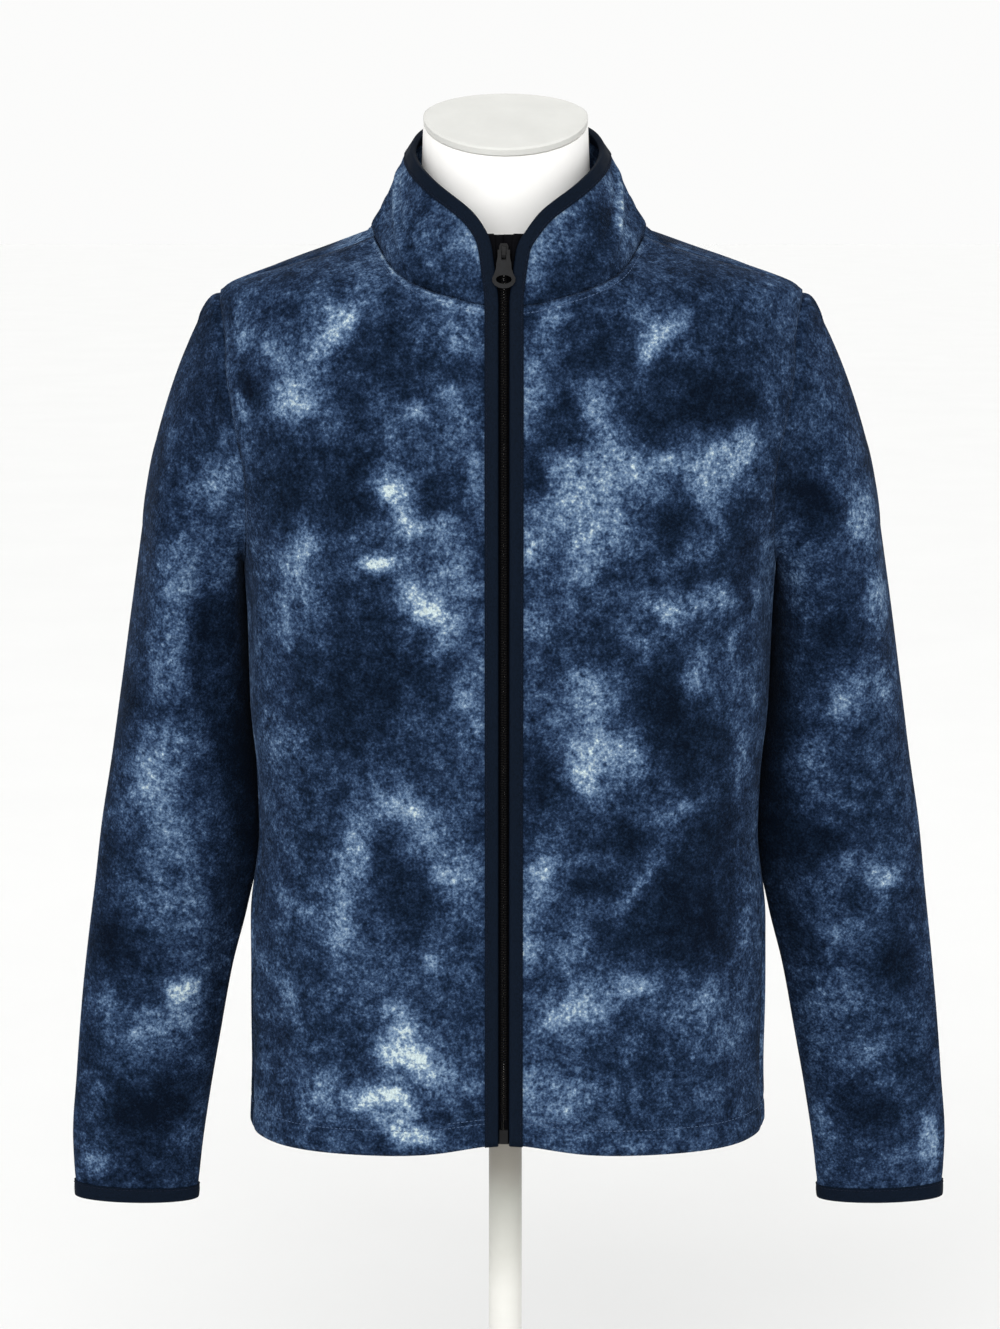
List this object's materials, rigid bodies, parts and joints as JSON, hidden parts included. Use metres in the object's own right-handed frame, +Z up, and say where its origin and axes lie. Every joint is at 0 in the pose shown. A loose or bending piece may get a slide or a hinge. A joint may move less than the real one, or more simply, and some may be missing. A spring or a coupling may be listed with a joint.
{
  "type": "fleece zip jacket on a limbless dress form",
  "caption": "Printed fleece zip jacket with a stand-up collar and bound edges, worn by a limbless dress form on a round stand.",
  "frame": {"origin": "middle of the stand base's underside, on the floor", "axes": "+Z up, -Y out of the jacket's front, +X to the wearer's left"},
  "size_m": [0.6873, 0.32, 1.1529],
  "materials": {
    "fleece": "mottled blue printed fleece, short nap",
    "binding": "smooth dark navy stretch binding",
    "zip_tape": "woven black tape and coil",
    "zip_metal": "dark satin lacquer",
    "form_white": "smooth matte white",
    "stand_white": "white powder coat"
  },
  "bodies": {
    "jacket_on_form": {"jacket_front_left": "fleece", "jacket_front_right": "fleece", "jacket_back": "fleece", "sleeve_left": "fleece", "sleeve_right": "fleece", "collar": "fleece", "edge_binding": "binding", "cuff_binding_left": "binding", "cuff_binding_right": "binding", "zip_tape_left": "zip_tape", "zip_tape_right": "zip_tape", "zip_slider": "zip_metal", "zip_box": "zip_metal", "zip_pin": "zip_metal", "dress_form": "form_white", "form_neck_cap": "form_white", "stand_post": "stand_white", "stand_base": "stand_white"},
    "pull_tab": {"zip_pull_tab": "zip_metal"}
  },
  "joints": [
    {"name": "pull_tab_hinge", "type": "hinge", "parent": "jacket_on_form", "child": "pull_tab", "pos_m": [-0.0015, -0.08781, 1.03984], "axis": [-1, 0, 0], "range_deg": [0, 150]}
  ]
}
